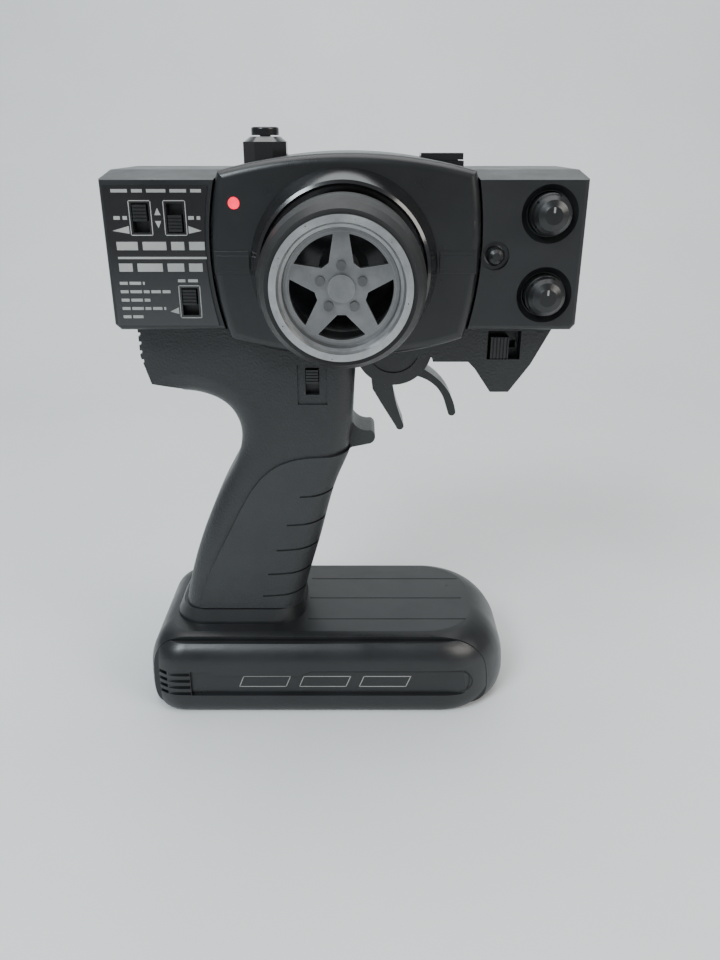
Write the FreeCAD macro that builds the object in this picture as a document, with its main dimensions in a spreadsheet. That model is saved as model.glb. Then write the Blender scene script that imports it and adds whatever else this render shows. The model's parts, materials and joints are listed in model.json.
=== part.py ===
"""Pistol-grip radio transmitter: steering wheel on the head, trigger under it, battery drawer in the foot.

Millimetres. +X points the way the model drives (away from the user's palm), +Y goes into the left-hand side,
-Y is the side that carries the steering wheel, +Z is up. The origin is the middle of the foot's underside.
"""

import FreeCAD, Part

import math
import os
import re

V = FreeCAD.Vector
doc = FreeCAD.newDocument("transmitter")

# ---------------------------------------------------------------- driving dimensions

SIZES = {
    # foot
    "foot_left": -73, "foot_right": 73, "foot_front": -35, "foot_back": 35, "foot_top": 33,
    "door_plane": -28, "foot_wall": 3, "cavity_top": 26.5,
    "floor_left": -66, "floor_right": 63, "floor_front": -25, "floor_back": 28, "floor_depth": 3,
    # battery drawer
    "cell_radius": 7.2, "cell_length": 50.4, "cell_pitch": 14.55, "tray_half": 55.5, "tray_front": -31,
    "tray_back": 29.8, "tray_low": 3.4, "tray_rim": 16, "tray_wall": 1.2,
    # grip and the frame under the head
    "case_half": 17.5, "case_wall": 2.5, "frame_top": 154.8, "grip_round": 8, "pad_skin": 0.9,
    # head
    "head_face": -28.5, "head_back": 24, "head_top": 205.5, "head_low": 155.2, "head_left": -70,
    "head_right": 85, "head_wall": 2.2, "face_wall": 2.6, "seam_gap": 0.5, "cowl_face": -30.5,
    "middle_plane": 0,
    # steering
    "wheel_x": 7.3, "wheel_z": 176.3, "rim_radius": 20, "rim_front": -74, "rim_back": -47,
    "tyre_radius": 24.4, "shaft_radius": 3, "running_gap": 0.05, "bezel_radius": 30.2,
    "bezel_lip": 26.5, "bezel_front": -43,
    # trigger
    "pivot_x": 24.5, "pivot_z": 145.8, "hub_radius": 13.9, "hub_half": 14, "blade_half": 6,
    "pivot_radius": 2.2,
    # controls
    "slot_width": 5.4, "slot_height": 9, "slide_width": 4.4, "slide_height": 5,
    "knob_radius": 6.6, "knob_front": -34.6, "dish_radius": 9.1, "dial_shaft": 2.5,
    "st_trim_x": 73.1, "st_trim_z": 192.4, "th_trim_x": 73.4, "th_trim_z": 166.9,
    "rate_x": 56.4, "rate_z": 179.5, "rate_radius": 2.9,
    "steer_switch_x": -57.4, "steer_switch_z": 191.3, "gas_switch_x": -46.4, "gas_switch_z": 191.3,
    "third_switch_x": -43.7, "third_switch_z": 164.8, "lamp_x": -27.3, "lamp_z": 195.9,
    "power_x": -4.7, "power_z": 134, "thumb_x": 61.8, "thumb_z": 146.7,
    # aerial
    "aerial_x": -19.7, "aerial_low": 72, "aerial_high": 215.2, "tube_step": 0.35, "tube_wall": 0.3,
    "socket_radius": 7.3, "socket_top": 215.5,
    # circuit boards
    "board_back": 9.6, "board_front": 8, "crystal_x": 40.3,
}

sheet = doc.addObject("Spreadsheet::Sheet", "Sizes")
for row, (alias, size) in enumerate(SIZES.items(), start=1):
    sheet.set(f"A{row}", alias)
    sheet.set(f"B{row}", str(size))
    sheet.setAlias(f"B{row}", alias)
doc.recompute()


def value(formula):
    """The number that a formula of sheet aliases comes to."""
    if isinstance(formula, (int, float)):
        return float(formula)
    return float(worked_out(formula))


def worked_out(formula):
    """Adds up a formula by letting the sheet itself evaluate it in a spare cell."""
    sheet.set("D1", "=" + formula)
    sheet.recompute()
    return sheet.get("D1")


def bound(formula):
    """A formula with each sheet alias written the way an expression of another object needs it."""
    return re.sub(r"[a-z_]+[a-z0-9_]*", lambda m: "Sizes." + m[0] if m[0] in SIZES else m[0], str(formula))


# ---------------------------------------------------------------- building blocks


def settle(thing, **sizes):
    """Binds each named size of a primitive to its formula."""
    for name, formula in sizes.items():
        thing.setExpression(name, bound(formula))
    return thing


def place(thing, x, y, z, axis=None, angle=0):
    """Puts a primitive at a point whose coordinates are formulas, turned about an axis."""
    if axis:
        thing.Placement.Rotation = FreeCAD.Rotation(V(*axis), angle)
    for name, formula in zip("xyz", (x, y, z)):
        thing.setExpression("Placement.Base." + name, bound(formula))
    return thing


def box(name, x, y, z):
    """A block from the low to the high formula of each pair."""
    made = settle(doc.addObject("Part::Box", name), Length=f"({x[1]})-({x[0]})",
                  Width=f"({y[1]})-({y[0]})", Height=f"({z[1]})-({z[0]})")
    return place(made, x[0], y[0], z[0])


def rod_y(name, x, z, y, radius):
    """A round rod along Y, from y[0] to y[1]."""
    made = settle(doc.addObject("Part::Cylinder", name), Radius=radius, Height=f"({y[1]})-({y[0]})")
    return place(made, x, y[1], z, (1, 0, 0), 90)


def rod_x(name, y, z, x, radius):
    """A round rod along X, from x[0] to x[1]."""
    made = settle(doc.addObject("Part::Cylinder", name), Radius=radius, Height=f"({x[1]})-({x[0]})")
    return place(made, x[0], y, z, (0, 1, 0), 90)


def rod_z(name, x, y, z, radius):
    """A round rod along Z, from z[0] to z[1]."""
    made = settle(doc.addObject("Part::Cylinder", name), Radius=radius, Height=f"({z[1]})-({z[0]})")
    return place(made, x, y, z[0])


def cone_y(name, x, z, y, back_radius, front_radius):
    """A frustum along Y: front_radius at y[0], back_radius at y[1]."""
    made = settle(doc.addObject("Part::Cone", name), Radius1=back_radius, Radius2=front_radius,
                  Height=f"({y[1]})-({y[0]})")
    return place(made, x, y[1], z, (1, 0, 0), 90)


def join(name, *shapes):
    made = doc.addObject("Part::MultiFuse", name)
    made.Shapes = list(shapes)
    return made


def overlap(name, *shapes):
    made = doc.addObject("Part::MultiCommon", name)
    made.Shapes = list(shapes)
    return made


def group(name, *shapes):
    """Several separate solids in one node."""
    made = doc.addObject("Part::Compound", name)
    made.Links = list(shapes)
    return made


def cut(name, base, *tools):
    """base less every tool."""
    made = doc.addObject("Part::Cut", name)
    made.Base = base
    made.Tool = tools[0] if len(tools) == 1 else join(name + "_tools", *tools)
    return made


def wanted_edges(shape, wanted):
    return [n for n, edge in enumerate(shape.Edges, start=1) if wanted(edge)]


def rounded(name, base, radius, wanted):
    """base with a fillet on each edge that wanted() picks."""
    doc.recompute()
    made = doc.addObject("Part::Fillet", name)
    made.Base = base
    made.Edges = [(n, value(radius), value(radius)) for n in wanted_edges(base.Shape, wanted)]
    return made


def line(a, b):
    return Part.LineSegment(V(*a), V(*b))


def arc(a, through, b):
    return Part.Arc(V(*a), V(*through), V(*b))


def curve(*points):
    spline = Part.BSplineCurve()
    spline.interpolate([V(*p) for p in points])
    return spline


def polygon(*points):
    """The straight sides of a closed outline in X and Z."""
    flat = [(x, z, 0) for x, z in points]
    return [line(a, b) for a, b in zip(flat, flat[1:] + flat[:1])]


def slab(name, sides, y):
    """An outline in X and Z, drawn in a sketch, made into a solid from y[0] to y[1]."""
    sketch = doc.addObject("Sketcher::SketchObject", name + "_sketch")
    sketch.Placement = FreeCAD.Placement(V(0, 0, 0), FreeCAD.Rotation(V(1, 0, 0), 90))
    sketch.setExpression("Placement.Base.y", bound(y[1]))
    for side in sides:
        sketch.addGeometry(side, False)
    made = doc.addObject("Part::Extrusion", name)
    made.Base = sketch
    made.DirMode = "Normal"
    made.Solid = True
    made.setExpression("LengthFwd", bound(f"({y[1]})-({y[0]})"))
    return made


def turned(name, x, z, profile):
    """A solid of revolution about the Y axis line through (x, z). profile lists (radius, y) corners."""
    sketch = doc.addObject("Sketcher::SketchObject", name + "_sketch")
    place(sketch, x, "middle_plane", z)
    flat = [(radius, y, 0) for radius, y in profile]
    for a, b in zip(flat, flat[1:] + flat[:1]):
        sketch.addGeometry(line(a, b), False)
    made = doc.addObject("Part::Revolution", name)
    made.Source = sketch
    made.Axis = V(0, 1, 0)
    made.setExpression("Base.x", bound(x))
    made.setExpression("Base.z", bound(z))
    made.Angle = 360
    made.Solid = True
    return made


def round_block(x, y, z, radii):
    """A closed wire: a rectangle at height z with its own radius at the left and the right corners."""
    (x0, x1), (y0, y1), (r0, r1) = x, y, radii
    k = 1 - math.sqrt(0.5)
    corners = [
        ((x0 + r0, y0), (x1 - r1, y0), (x1 - r1 * k, y0 + r1 * k), (x1, y0 + r1)),
        ((x1, y0 + r1), (x1, y1 - r1), (x1 - r1 * k, y1 - r1 * k), (x1 - r1, y1)),
        ((x1 - r1, y1), (x0 + r0, y1), (x0 + r0 * k, y1 - r0 * k), (x0, y1 - r0)),
        ((x0, y1 - r0), (x0, y0 + r0), (x0 + r0 * k, y0 + r0 * k), (x0 + r0, y0)),
    ]
    edges = []
    for start, bend, middle, end in corners:
        edges.append(Part.LineSegment(V(*start, z), V(*bend, z)).toShape())
        edges.append(Part.Arc(V(*bend, z), V(*middle, z), V(*end, z)).toShape())
    return Part.Wire(edges)


def fixed(name, shape):
    """A node whose shape is made by Part's own functions from the sheet's sizes."""
    made = doc.addObject("Part::Feature", name)
    made.Shape = shape
    return made


nodes = {}


def node(label, thing):
    """Gives a finished piece its own label, which names its file."""
    thing.Label = label
    nodes[label] = thing
    return thing


everywhere = 400
near = (-everywhere, "middle_plane")
far = ("middle_plane", everywhere)


def half(name, thing, y):
    """The part of a shape on one side of a plane across Y."""
    return overlap(name, thing, box(name + "_side", (-everywhere, everywhere), y, (-everywhere, everywhere)))


# ---------------------------------------------------------------- foot


def foot_form():
    """The foot's whole outer form: rounded slices, widest a third of the way up, drawn in at the toe."""
    left, right = value("foot_left"), value("foot_right")
    front, back, top = value("foot_front"), value("foot_back"), value("foot_top")
    # height share, then how far each side is drawn in: left, right, front, back
    slices = [(0, 3, 5, 2.6, 2.6), (0.08, 0.9, 1.6, 0.6, 0.6), (0.35, 0, 0, 0, 0), (0.62, 0.6, 1.6, 0.2, 0.2),
              (0.82, 2.6, 5.4, 1.8, 1.4), (0.93, 5, 9, 4.6, 3.4), (1, 9, 14, 10, 7)]
    wires = [round_block((left + a, right - b), (front + c, back - d), top * share, (14 - a / 2, 27 - b / 2))
             for share, a, b, c, d in slices]
    return fixed("foot_form", Part.makeLoft(wires, True, False))


def plan_block(name, x, y, z, radii):
    """A straight-sided block with rounded corners in plan."""
    low = round_block(tuple(map(value, x)), tuple(map(value, y)), value(z[0]), radii)
    return fixed(name, Part.Face(low).extrude(V(0, 0, value(z[1]) - value(z[0]))))


form = foot_form()
bosses = [(-61, -16), (-61, 19), (59.5, -10), (59.5, 13)]


def foot():
    body = half("foot_behind_door", form, ("door_plane + 0.2", everywhere))
    cavity = plan_block("foot_cavity", ("foot_left + foot_wall", "foot_right - foot_wall - 3.5"),
                        ("floor_front", "foot_back - foot_wall"), ("floor_depth + 0.1", "cavity_top"), (11, 17))
    opening = plan_block("foot_floor_opening", ("floor_left - 0.15", "floor_right + 0.15"),
                         ("floor_front - 0.15", "floor_back + 0.15"), (-1, "floor_depth + 0.2"), (10, 18))
    mouth = box("drawer_mouth", ("-tray_half - 1.5", "tray_half + 1.5"), ("door_plane - 1", "floor_front + 3"),
                ("tray_low - 0.3", 23))
    wire_way = rod_z("wire_way", -36, 0, (20, 40), 6)
    posts = []
    for n, (x, y) in enumerate(bosses):
        post = rod_z(f"foot_post_{n}", x, y, ("floor_depth + 0.1", 29), 2.7)
        posts.append(cut(f"foot_boss_{n}", post, rod_z(f"foot_pilot_{n}", x, y, (0, 12), 1.15)))
    hollow = cut("foot_hollow", body, cavity, opening, mouth, wire_way)
    creases = [box(f"crease_{n}", (-9, 56), (y, y + 0.5), ("foot_top - 0.5", "foot_top + 1"))
               for n, y in enumerate((-16.5, -0.25, 16))]
    node("foot_shell", cut("foot_creased", join("foot_joined", hollow, *posts), *creases))

    plate = plan_block("floor_plate", ("floor_left", "floor_right"), ("floor_front", "floor_back"),
                       (0, "floor_depth"), (9.85, 17.85))
    holes = [rod_z(f"floor_hole_{n}", x, y, (-1, 5), 1.4) for n, (x, y) in enumerate(bosses)]
    sinks = [rod_z(f"floor_sink_{n}", x, y, (-1, 1.8), 2.9) for n, (x, y) in enumerate(bosses)]
    node("foot_floor", cut("floor_drilled", plate, *holes, *sinks))

    screws = []
    for n, (x, y) in enumerate(bosses):
        head = rod_z(f"foot_screw_head_{n}", x, y, (0.3, 1.8), 2.6)
        shank = rod_z(f"foot_screw_shank_{n}", x, y, (1.5, 11), 1.1)
        slot = box(f"foot_screw_slot_{n}", (x - 2, x + 2), (y - 0.4, y + 0.4), (0, 0.9))
        screws.append(cut(f"foot_screw_{n}", join(f"foot_screw_solid_{n}", head, shank), slot))
    node("foot_screws", group("foot_screw_set", *screws))


# ---------------------------------------------------------------- battery drawer


def battery_drawer():
    door_sides = [
        line((-63, 1, 0), (50, 1, 0)), arc((50, 1, 0), (63, 7.5, 0), (67, 16, 0)),
        arc((67, 16, 0), (63, 25.5, 0), (52, 30.6, 0)), line((52, 30.6, 0), (-63.5, 30.6, 0)),
        arc((-63.5, 30.6, 0), (-66.6, 29.3, 0), (-68, 26, 0)), line((-68, 26, 0), (-68, 6, 0)),
        arc((-68, 6, 0), (-66.5, 2.4, 0), (-63, 1, 0)),
    ]
    slice_ = slab("door_slice", door_sides, ("foot_front - 2", "door_plane - 0.2"))
    cap = overlap("door_cap", slice_, form)
    hollow = box("door_hollow", ("-tray_half - 1", "tray_half + 1"), ("foot_front + 4", "door_plane + 1"),
                 ("tray_low - 0.6", 23.4))
    recess_sides = [
        line((-55, 9, 0), (52.6, 9, 0)), arc((52.6, 9, 0), (58.4, 14.8, 0), (52.6, 20.6, 0)),
        line((52.6, 20.6, 0), (-7, 20.6, 0)), line((-7, 20.6, 0), (-11, 18.6, 0)),
        line((-11, 18.6, 0), (-47, 18.6, 0)), line((-47, 18.6, 0), (-47, 20.2, 0)),
        line((-47, 20.2, 0), (-55, 20.2, 0)), line((-55, 20.2, 0), (-55, 9, 0)),
    ]
    recess = slab("door_recess", recess_sides, ("foot_front - 2", "foot_front + 1.5"))
    grooves = [box(f"door_groove_{n}", (-75, -55.2), ("foot_front - 2", "foot_front + 1.1 + 4.4"),
                   (9.2 + 3 * n, 10.7 + 3 * n)) for n in range(4)]
    keep = box("door_groove_keep", (-64.5, -50), ("foot_front + 1.1", 0), (0, 30))
    bitten = cut("door_grooves", join("door_groove_set", *grooves), keep)
    door = cut("door_hollowed", cap, hollow)
    node("battery_door", cut("door_grooved", cut("door_recessed", door, recess), bitten))

    outer = box("tray_outer", ("-tray_half", "tray_half"), ("tray_front", "tray_back"), ("tray_low", "tray_rim"))
    inner = box("tray_inner", ("tray_wall - tray_half", "tray_half - tray_wall"),
                ("tray_front + tray_wall", "tray_back - tray_wall"), ("tray_low + tray_wall", 30))
    node("battery_tray", cut("tray_hollow", outer, inner))

    cells, springs = [], []
    for row in range(4):
        y = f"tray_front + tray_wall + 0.15 + cell_radius + {row} * cell_pitch"
        z = "tray_low + tray_wall + cell_radius + 0.1"
        for column, start in enumerate(("-cell_length - 0.6", "-0.1 + 0.3")):
            can = rod_x(f"cell_can_{row}{column}", y, z, (start, f"{start} + cell_length - 1"), "cell_radius")
            tip = rod_x(f"cell_tip_{row}{column}", y, z, (f"{start} + cell_length - 1.5", f"{start} + cell_length"), 2.7)
            cells.append(join(f"cell_{row}{column}", can, tip))
        for side, (low, high) in enumerate((("tray_wall - tray_half", "-cell_length - 0.7"),
                                            ("cell_length + 0.3", "tray_half - tray_wall"))):
            springs.append(rod_x(f"contact_{row}{side}", y, z, (low, high), 3.2))
    node("battery_cells", group("cell_set", *cells))
    node("battery_contacts", group("contact_set", *springs))


# ---------------------------------------------------------------- grip and frame

REAR_EDGE = [(-60.8, 28), (-56.4, 50), (-49.6, 71), (-40.1, 91.6), (-33, 106.5), (-32.6, 116), (-37, 123.8),
             (-44.5, 127.8), (-51.3, 129)]
FRONT_EDGE = [(-13.6, 28), (-10.3, 46.5), (-3.3, 72), (3.4, 95.5), (8.4, 108), (9.9, 119), (10.8, 136)]


def case_outline(inset=0):
    """Grip, neck and frame in one outline, its grip edges moved in by inset."""
    rear = [(x + inset, z, 0) for x, z in REAR_EDGE]
    front = [(x - inset, z, 0) for x, z in FRONT_EDGE]
    top = value("frame_top")
    tail = [rear[-1], (-52.6, 130.4, 0), (-62.5, 133.2, 0), (-65.5, 143.5, 0), (-65.5, top, 0), (80.4, top, 0),
            (79.6, 153.1, 0), (73.2, 140.5, 0), (66, 130.3, 0), (59.4, 130.3, 0), (53.4, 139, 0), (51, 141.4, 0),
            (front[-1][0], 141.4, 0), front[-1]]
    return [curve(*rear), *[line(a, b) for a, b in zip(tail, tail[1:])], curve(*front[::-1]),
            line(front[0], rear[0])]


def along_grip(edge):
    """The long curved edges of the grip on both faces of the case."""
    middle = edge.BoundBox.Center
    return edge.Length > 60 and edge.BoundBox.YLength < 0.01 and 50 < middle.z < 100


def case_form(name, half_depth, inset=0):
    plain = slab(name + "_plain", case_outline(inset), (f"-({half_depth})", half_depth))
    return rounded(name, plain, "grip_round", along_grip)


def case():
    form_all = case_form("case_form", "case_half")
    finger_rest = slab("finger_rest", [
        line((2, 101.5, 0), (9.5, 105.4, 0)), line((9.5, 105.4, 0), (16.2, 106.8, 0)),
        arc((16.2, 106.8, 0), (18.3, 109.6, 0), (16.6, 112.2, 0)), arc((16.6, 112.2, 0), (12, 113.1, 0), (9.2, 117, 0)),
        line((9.2, 117, 0), (2, 117, 0)), line((2, 117, 0), (2, 101.5, 0)),
    ], (-8, 8))
    solid = join("case_solid", form_all, finger_rest)

    grip_room = slab("grip_room", polygon((-57, 20), (-52.5, 50), (-45.6, 71), (-36, 91.6), (-29, 106), (-28.5, 118),
                                          (-34, 128), (-40, 133), (6.5, 133), (6.2, 119), (4.6, 108), (-0.6, 95),
                                          (-7.2, 72), (-14.2, 46.5), (-17, 20)),
                     ("case_wall - case_half", "case_half - case_wall"))
    frame_room = box("frame_room", (-61.5, 7.5), ("case_wall - case_half", "case_half - case_wall"),
                     (132.9, "frame_top - 2.4"))
    deck_hole = box("deck_hole", (-56, 5), (-12, 12), (150, 156))
    hub_pocket = rod_y("hub_pocket", "pivot_x", "pivot_z", ("-hub_half - 0.3", "hub_half + 0.3"), "hub_radius + 0.5")
    under = box("hub_under", (0, 60), (-30, 30), (120, 143))
    hub_window = overlap("hub_window", rod_y("hub_through", "pivot_x", "pivot_z", (-30, 30), "hub_radius + 0.8"), under)
    pin_hole = rod_y("pivot_hole", "pivot_x", "pivot_z", ("-case_half + 1", "case_half - 1"),
                     "pivot_radius + running_gap")

    thumb_room = box("thumb_room", ("thumb_x - 4.3", "thumb_x + 7.4"), ("-case_half - 1", "-case_half + 5.5"),
                     ("thumb_z - 4.4", "thumb_z + 5.8"))
    nose_room = box("nose_room", (42, 70), ("-case_half + 8", "case_half - 3"), (143.6, "frame_top - 2.4"))
    thumb_slot = box("thumb_slot", ("thumb_x - 3.3", "thumb_x + 6.4"), ("-case_half + 5", "-case_half + 9"),
                     ("thumb_z - 1.4", "thumb_z + 1.4"))

    power_frame = box("power_frame", ("power_x - 5.4", "power_x + 5.4"), ("-case_half - 1", "-case_half + 0.7"),
                      ("power_z - 8.6", "power_z + 6.4"))
    power_slot = box("power_slot", ("power_x - 2.5", "power_x + 2.5"), ("-case_half - 1", "-case_half + 4"),
                     ("power_z - 5", "power_z + 5"))
    ribs = [box(f"tail_groove_{n}", (-70, -64.7 + 0.3 * max(0, 3 - n)), (-30, 30), (134.6 + 3.2 * n, 135.9 + 3.2 * n))
            for n in range(6)]
    tube_room = rod_z("tube_room", "aerial_x", 0, (60, 160), 4.4)
    housed = cut("case_housed", cut("case_open", solid, hub_window), hub_pocket)
    hollow = cut("case_hollow", housed, grip_room, frame_room, deck_hole, pin_hole,
                 thumb_room, nose_room, thumb_slot, power_frame, power_slot, tube_room, form, *ribs)
    screws = [(-44, 62), (-5, 104), (-58.5, 146)]
    posts, holes = [], []
    for n, (x, z) in enumerate(screws):
        posts.append(rod_y(f"case_post_{n}", x, z, ("-case_half + 1", "case_half - 1"), 3.1))
        holes.append(rod_y(f"case_hole_{n}", x, z, ("-case_half + 5", "case_half + 3"), 1.3))
        holes.append(rod_y(f"case_sink_{n}", x, z, ("case_half - 1.8", "case_half + 3"), 2.9))
    posted = cut("case_posted", join("case_posts", hollow, *posts), *holes)
    node("case_right", half("case_near", posted, near))
    node("case_left", half("case_far", posted, far))
    heads = [rod_y(f"case_head_{n}", x, z, ("case_half - 1.8", "case_half - 0.3"), 2.7)
             for n, (x, z) in enumerate(screws)]
    shanks = [rod_y(f"case_shank_{n}", x, z, ("-case_half + 6", "case_half - 1"), 1.25)
              for n, (x, z) in enumerate(screws)]
    fitted = [join(f"case_screw_{n}", *pair) for n, pair in enumerate(zip(heads, shanks))]

    skin_form = case_form("skin_form", "case_half + pad_skin", -value("pad_skin"))
    region = slab("pad_region", [
        curve((14, 108.6, 0), (3, 105.2, 0), (-8.5, 104.4, 0), (-20, 100.4, 0), (-29.5, 90, 0), (-37, 76, 0),
              (-46, 58, 0), (-52, 39.5, 0)),
        line((-52, 39.5, 0), (14, 39.5, 0)), line((14, 39.5, 0), (14, 108.6, 0)),
    ], (-30, 30))
    skin = cut("pad_skin", overlap("pad_slice", skin_form, region), solid)
    lines = []
    for n, (x, z, reach) in enumerate(((-10.5, 88.5, 14), (-15.8, 76.5, 16), (-20.2, 65.5, 17), (-24, 54.8, 18),
                                       (-26.5, 44.8, 17))):
        bend = curve((x, z, 0), (x + reach * 0.45, z + 0.5, 0), (x + reach + 6, z + 3.6, 0))
        back = curve((x + reach + 6, z + 4.5, 0), (x + reach * 0.45, z + 1.35, 0), (x, z + 0.75, 0))
        sides = [bend, line((x + reach + 6, z + 3.6, 0), (x + reach + 6, z + 4.5, 0)), back,
                 line((x, z + 0.75, 0), (x, z, 0))]
        lines.append(slab(f"finger_line_{n}", sides, (-30, 30)))
    lined = cut("pad_lined", skin, *lines, finger_rest)
    core = case_form("pad_core", "case_half + 0.3", -0.3)
    pad = join("pad_whole", lined, cut("pad_base", overlap("pad_base_slice", core, region), solid, finger_rest))
    node("grip_pad_right", half("pad_near", pad, near))
    node("grip_pad_left", half("pad_far", pad, far))

    ring_low = round_block((-64, -9.6), (-20.6, 20.6), 28.5, (13, 13))
    ring_mid = round_block((-63.2, -10.2), (-20, 20), 34.2, (13, 13))
    ring_high = round_block((-60.6, -11), (-18.6, 18.6), 39, (11, 11))
    flare = fixed("collar_form", Part.makeLoft([ring_low, ring_mid, ring_high], True, True))
    node("grip_collar", cut("collar_cut", flare, form, case_form("collar_core", "case_half + 0.05", -0.05)))
    return fitted


# ---------------------------------------------------------------- head

BARREL = {"left": -32.3, "left_bulge": -35.7, "left_low": -31.1, "right": 49.2, "right_bulge": 51.6,
          "right_low": 47.2, "shoulder": 205.4, "crown": 210.6, "waist": 181, "hem": 152.4, "keel": 146}


def barrel_outline(grow=0):
    """The middle cowl seen along Y: four bowed sides, each moved out by grow."""
    b = BARREL
    top_left = (b["left"] - grow, b["shoulder"] + grow, 0)
    top_right = (b["right"] + grow, b["shoulder"] + grow, 0)
    low_left = (b["left_low"] - grow, b["hem"] - grow, 0)
    low_right = (b["right_low"] + grow, b["hem"] - grow, 0)
    middle = (b["left"] + b["right"]) / 2
    return [arc(low_left, (b["left_bulge"] - grow, b["waist"], 0), top_left),
            arc(top_left, (middle, b["crown"] + grow, 0), top_right),
            arc(top_right, (b["right_bulge"] + grow, b["waist"], 0), low_right),
            arc(low_right, (middle, b["keel"] - grow, 0), low_left)]


def at_face(y):
    """Picks the edges that lie in the plane y."""
    plane = value(y)
    return lambda edge: abs(edge.BoundBox.YMin - plane) < 0.01 and abs(edge.BoundBox.YMax - plane) < 0.01


HEAD_POSTS = [(-64, 161), (-64, 199.5), (79, 161), (79, 199.5), (-27, 160.5), (40, 160.5)]


def head_room():
    """What every head cover leaves free: the frame below, the boss holes on the far side."""
    frame = box("frame_space", (-90, 100), ("-case_half - 0.2", "case_half + 0.2"), (100, "frame_top + 0.2"))
    holes = []
    for n, (x, z) in enumerate(HEAD_POSTS):
        holes.append(rod_y(f"head_hole_{n}", x, z, (-7, 40), 1.3))
        holes.append(rod_y(f"head_sink_{n}", x, z, ("head_back - 1.8", 40), 2.9))
    return [frame, *holes]


def head_cover(name, outer, room, y_range, tools):
    """One shell of the head: outer less room, with screw posts, cut to its own side."""
    posts = [rod_y(f"{name}_post_{n}", x, z, ("head_face + 1", "head_back - 0.5"), 3)
             for n, (x, z) in enumerate(HEAD_POSTS)]
    inside = overlap(name + "_posts", join(name + "_post_set", *posts), outer)
    shell = cut(name + "_shell", outer, room)
    return half(name + "_half", cut(name + "_cut", join(name + "_joined", shell, inside), *tools), y_range)


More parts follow.
